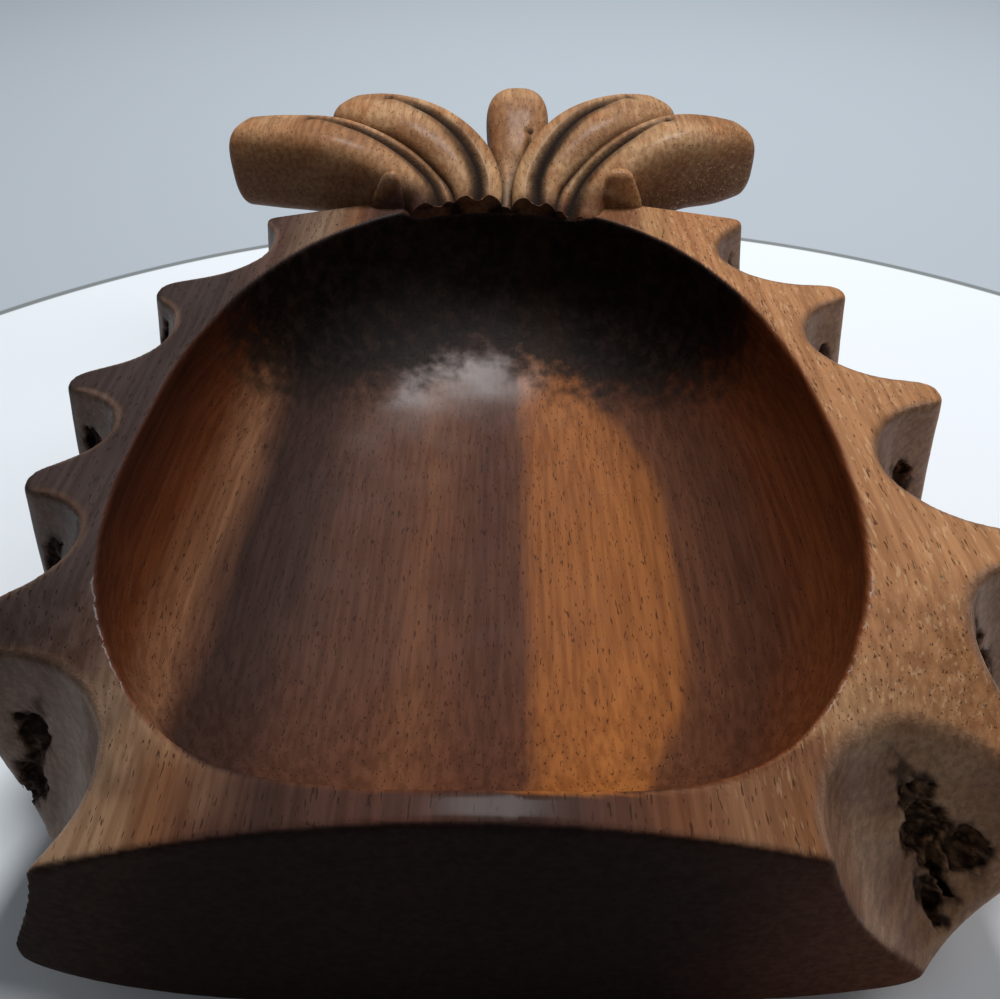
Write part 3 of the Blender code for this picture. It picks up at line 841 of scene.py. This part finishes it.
def make_wood(look):
    """Oiled, figured hardwood: one pattern that runs through the whole block."""
    material = bpy.data.materials.new("figured_wood")
    material.use_nodes = True
    tree = material.node_tree
    tree.nodes.clear()
    paint = Paint(tree)
    at = Place(paint)
    wall = far_wall(paint, at)
    colour = on_crown_and_gouges(paint, at, ring_colour(paint, at))
    colour = on_end_grain_and_shade(paint, at, wall, colour)
    colour = worn_thin(paint, at, colour)

    # streaks, open pores and pale flecks along the grain
    streak = paint.grain(at.x, at.y, at.z, 1.1, 26.0, 3.0)
    shaded = paint.mix(1.0, colour, STREAK_SHADE, 'MULTIPLY')
    colour = paint.mix(0.85 * paint.step(streak, 0.30, 0.72), shaded, colour)
    pore = paint.grain(at.x, at.y, at.z, 0.36, 2.6, 1.0)
    pores = paint.step(pore, 0.655, 0.72) * (1.0 - 0.6 * at.gouge)
    colour = paint.mix(pores * 0.72, colour, PORE)
    fleck = paint.step(paint.grain(at.x + 300.0, at.y, at.z, 0.55, 3.4, 1.0), 0.60, 0.70)
    sanded = at.outside * (1.0 - paint.biggest(at.gouge, at.facet))
    colour = paint.mix(fleck * paint.step(at.x, 18.0, 52.0) * sanded * 0.38, colour, FLECK)
    # painted shade darkens the grooves, the pits and the creases between leaves
    colour = paint.mix(at.burnt, colour, PAINTED_RECESS_SHADE)

    rough = 0.56 + 0.30 * paint.biggest(at.burnt, at.facet) + (at.fuzz - 0.5) * 0.18
    dry = paint.biggest(at.burnt, at.facet, wall)
    coat = (0.05 + 0.11 * at.inside + 0.16 * at.gouge) * (1.0 - dry)
    relief = (streak * 0.05 - pores * 0.10 + (paint.noise(at.point, 1.6, 3.0) - 0.5)
              * (0.04 + 0.16 * at.gouge + 0.30 * at.burnt))
    bump = paint.out('ShaderNodeBump', None, {"Strength": look.relief, "Distance": MM,
                                              "Height": relief})
    shader = paint.out('ShaderNodeBsdfPrincipled', None, {
        "Base Color": colour, "Roughness": rough, "Coat Weight": coat, "Normal": bump,
        "IOR": 1.42, "Specular IOR Level": 0.08, "Coat Roughness": look.gloss_roughness,
        "Coat IOR": 1.45})
    paint.node('ShaderNodeOutputMaterial', None, {"Surface": shader})
    return material


BOARD_EDGE_SHADE = (0.20, 0.21, 0.21)


def make_board(look):
    """A pale round table top, ringed by a thin grey line of painted shade at its edge, with the
    floor a little darker beyond it.
    """
    material = bpy.data.materials.new("pale_board")
    material.use_nodes = True
    tree = material.node_tree
    paint = Paint(tree)
    coords = paint.node('ShaderNodeTexCoord')
    x, y, _ = paint.split(Wire(paint, coords.outputs["Object"]))
    middle_x, middle_y, radius, edge, blur = 0.010, -0.040, 0.240, 0.0028, 0.0012
    across, along = x - middle_x, y - middle_y
    reach = (across * across + along * along) ** 0.5
    pale, beyond = tuple(look.table_colour), tuple(look.beyond_colour)
    # painted shade: a thin grey ring standing for the shaded edge of the table top
    colour = paint.mix(paint.step(reach, radius, radius + blur), pale, BOARD_EDGE_SHADE)
    colour = paint.mix(paint.step(reach, radius + edge, radius + edge + blur), colour, beyond)
    shader = tree.nodes["Principled BSDF"]
    shader.inputs["Roughness"].default_value = 0.6
    shader.inputs["Specular IOR Level"].default_value = 0.3
    tree.links.new(colour.socket, shader.inputs["Base Color"])
    return material


# ---------------------------------------------------------------- settings

class CarvingSettings(bpy.types.PropertyGroup):
    voxel: FloatProperty(name="Fineness", description="Size of the smallest carved detail",
                         default=0.0007, min=0.0004, max=0.003, unit='LENGTH', precision=5)
    ripple: FloatProperty(name="Gouge ripple", description="Unevenness left by the gouge, in mm",
                          default=0.8, min=0.0, max=3.0)
    edge: FloatProperty(name="Rim edge", description="Radius of the sanded edge of the rim, in mm",
                        default=1.0, min=0.2, max=4.0)


class FinishSettings(bpy.types.PropertyGroup):
    gloss_roughness: FloatProperty(name="Oil gloss", description="Roughness of the oil coat",
                                   default=0.20, min=0.0, max=1.0, subtype='FACTOR')
    relief: FloatProperty(name="Grain relief", description="Depth of the grain and the pores",
                          default=0.8, min=0.0, max=1.0, subtype='FACTOR')


class StageSettings(bpy.types.PropertyGroup):
    table_colour: FloatVectorProperty(name="Table", description="Colour of the table top",
                                      default=(0.80, 0.83, 0.86), subtype='COLOR')
    beyond_colour: FloatVectorProperty(name="Beyond", description="Colour past the table's edge",
                                       default=(0.43, 0.47, 0.51), subtype='COLOR')
    camera_height: FloatProperty(name="Camera height", description="Height over the rim",
                                 default=0.100, unit='LENGTH')
    camera_back: FloatProperty(name="Camera distance", unit='LENGTH', default=0.1624,
                               description="Distance in front of the middle of the bowl")
    camera_pitch: FloatProperty(name="Camera tilt", description="Tilt below the horizon",
                                default=math.radians(38), subtype='ANGLE')


# ---------------------------------------------------------------- operators

# Each light: name, place and size in metres, and power in watts
LIGHTS = (("window", (0.06, 0.50, 0.92), 0.26, 9.5), ("lamp", (0.60, 0.05, 0.80), 0.50, 2.0))
LIGHT_COLOUR = (0.96, 0.98, 1.0)
ROOM_COLOUR, ROOM_STRENGTH = (0.86, 0.93, 1.0, 1.0), 0.17
TABLE_HALF_SIZE = 4.0


def wood():
    return bpy.data.materials["figured_wood"]


class BOWL_OT_carve_block(bpy.types.Operator):
    """Mix the wood, and carve the hollow and the gouges out of one block"""
    bl_idname = "pineapple_bowl.carve_block"
    bl_label = "Carve Block"

    def execute(self, context):
        carving = context.scene.bowl_carving
        material = make_wood(context.scene.bowl_finish)
        voxel = carving.voxel
        block = grow("carved_block", carve_tree(), {
            "Voxel": voxel, "Gouge Ripple": carving.ripple, "Edge Radius": carving.edge,
            "Wood": material})
        if not block.polygons:
            raise RuntimeError("the block came out empty")
        block.polygons.foreach_set("use_smooth", np.ones(len(block.polygons), dtype=bool))
        normals = np.empty(len(block.vertices) * 3, dtype=np.float32)
        block.vertices.foreach_get("normal", normals)
        block.attributes.new("block_normal", 'FLOAT_VECTOR', 'POINT')
        block.attributes["block_normal"].data.foreach_set("vector", normals)
        solid = bmesh.new()
        solid.from_mesh(block)
        saw(solid, (0, 0, SAW_Z * MM), (0, 0, -1))
        walls = bpy.data.meshes.new("carved_walls")
        solid.to_mesh(walls)
        solid.free()
        walls.materials.append(material)
        return {'FINISHED'}


class BOWL_OT_saw_floor(bpy.types.Operator):
    """Saw the floor of the bowl from the block"""
    bl_idname = "pineapple_bowl.saw_floor"
    bl_label = "Saw Floor"

    def execute(self, context):
        solid = bmesh.new()
        solid.from_mesh(bpy.data.meshes["carved_block"])
        saw(solid, (0, 0, SAW_Z * MM), (0, 0, 1))
        mesh = sawn_mesh("bowl_floor_finish", solid)
        solid.free()
        new_piece("bowl_floor_finish", mesh, wood(), "bowl_floor")
        return {'FINISHED'}


class BOWL_OT_saw_scales(bpy.types.Operator):
    """Saw the five scales of each side from the wall"""
    bl_idname = "pineapple_bowl.saw_scales"
    bl_label = "Saw Scales"

    def execute(self, context):
        for side in ("right", "left"):
            cuts = bearings(side)
            for number, (near, far) in enumerate(zip(cuts, cuts[1:]), 1):
                name = "scale_%s_%d_finish" % (side, number)
                start, end = (far, near) if side == "right" else (near, far)
                sector(name, start, end, wood())
        return {'FINISHED'}


class BOWL_OT_saw_ends(bpy.types.Operator):
    """Saw the front wall and the neck of the crown from the wall"""
    bl_idname = "pineapple_bowl.saw_ends"
    bl_label = "Saw Front and Neck"

    def execute(self, context):
        right, left = bearings("right"), bearings("left")
        sector("front_wall_finish", left[-1], right[-1], wood())
        sector("crown_neck_finish", right[0], left[0], wood())
        return {'FINISHED'}


class BOWL_OT_shape_leaves(bpy.types.Operator):
    """Shape the five leaves of the crown, and trim their roots to the hollow"""
    bl_idname = "pineapple_bowl.shape_leaves"
    bl_label = "Shape Leaves"

    def execute(self, context):
        fineness = {}
        meshes = {}
        for name, rows in LEAVES.items():
            mesh = leaf_mesh("leaf_%s_finish" % name, rows, MIDRIBS[name], **fineness)
            meshes[name] = trimmed(mesh, hollow_tool())
        shade_creases(meshes)
        for name, mesh in meshes.items():
            new_piece("leaf_%s_finish" % name, mesh, wood(), "leaf_" + name)
        return {'FINISHED'}


class BOWL_OT_shape_bracts(bpy.types.Operator):
    """Shape the small lobe on each side of the crown"""
    bl_idname = "pineapple_bowl.shape_bracts"
    bl_label = "Shape Bracts"

    def execute(self, context):
        for side, rows in BRACTS.items():
            name = "bract_%s_finish" % side
            mesh = trimmed(bract_mesh(name, rows), hollow_tool())
            new_piece(name, mesh, wood(), "bract_" + side)
        return {'FINISHED'}


class BOWL_OT_set_stage(bpy.types.Operator):
    """Lay the pale table, hang the soft lights and set up the camera"""
    bl_idname = "pineapple_bowl.set_stage"
    bl_label = "Set Stage"

    def execute(self, context):
        look = context.scene.bowl_stage
        scene = context.scene
        floor = bmesh.new()
        bmesh.ops.create_grid(floor, x_segments=1, y_segments=1, size=TABLE_HALF_SIZE)
        mesh = bpy.data.meshes.new("table")
        floor.to_mesh(mesh)
        floor.free()
        mesh.materials.append(make_board(look))
        table = bpy.data.objects.new("table", mesh)
        scene.collection.objects.link(table)

        world = bpy.data.worlds.new("soft_room")
        world.use_nodes = True
        room = world.node_tree.nodes["Background"]
        room.inputs["Color"].default_value = ROOM_COLOUR
        room.inputs["Strength"].default_value = ROOM_STRENGTH
        scene.world = world
        aim = Vector((0, 0, 0.03))
        for name, place, size, power in LIGHTS:
            lamp = bpy.data.lights.new(name, 'AREA')
            lamp.shape, lamp.size, lamp.energy = 'SQUARE', size, power
            lamp.color = LIGHT_COLOUR
            light = bpy.data.objects.new(name, lamp)
            light.location = place
            light.rotation_euler = (aim - Vector(place)).to_track_quat('-Z', 'Y').to_euler()
            scene.collection.objects.link(light)

        lens = bpy.data.cameras.new("camera")
        lens.sensor_width, lens.lens = 36.0, 36.0
        lens.clip_start = 0.01
        camera = bpy.data.objects.new("camera", lens)
        camera.location = (0, -look.camera_back, RIM * MM + look.camera_height)
        camera.rotation_euler = (math.pi / 2 - look.camera_pitch, 0, 0)
        scene.collection.objects.link(camera)
        scene.camera = camera
        scene.view_settings.view_transform = 'Standard'
        return {'FINISHED'}


class BOWL_PT_steps(bpy.types.Panel):
    """The steps that make the bowl, in order"""
    bl_idname = "BOWL_PT_steps"
    bl_label = "Carved Pineapple Bowl"
    bl_space_type = 'VIEW_3D'
    bl_region_type = 'UI'
    bl_category = "Carved Bowl"

    def draw(self, context):
        for group in (context.scene.bowl_carving, context.scene.bowl_finish,
                      context.scene.bowl_stage):
            for label in group.__annotations__:
                self.layout.prop(group, label)
        for step in STEPS:
            self.layout.operator(step.bl_idname)


SETTINGS = {"bowl_carving": CarvingSettings, "bowl_finish": FinishSettings,
            "bowl_stage": StageSettings}
STEPS = (BOWL_OT_carve_block, BOWL_OT_saw_floor, BOWL_OT_saw_scales, BOWL_OT_saw_ends,
         BOWL_OT_shape_leaves, BOWL_OT_shape_bracts, BOWL_OT_set_stage)
CLASSES = (*SETTINGS.values(), *STEPS, BOWL_PT_steps)


def register():
    for item in CLASSES:
        bpy.utils.register_class(item)
    for name, group in SETTINGS.items():
        setattr(bpy.types.Scene, name, PointerProperty(type=group))


def unregister():
    for name in SETTINGS:
        delattr(bpy.types.Scene, name)
    for item in reversed(CLASSES):
        bpy.utils.unregister_class(item)


def main():
    register()
    for step in STEPS:
        getattr(bpy.ops.pineapple_bowl, step.bl_idname.split(".")[1])()
    for name in ("carved_block", "carved_walls"):
        bpy.data.meshes.remove(bpy.data.meshes[name])


if __name__ == "__main__":
    main()
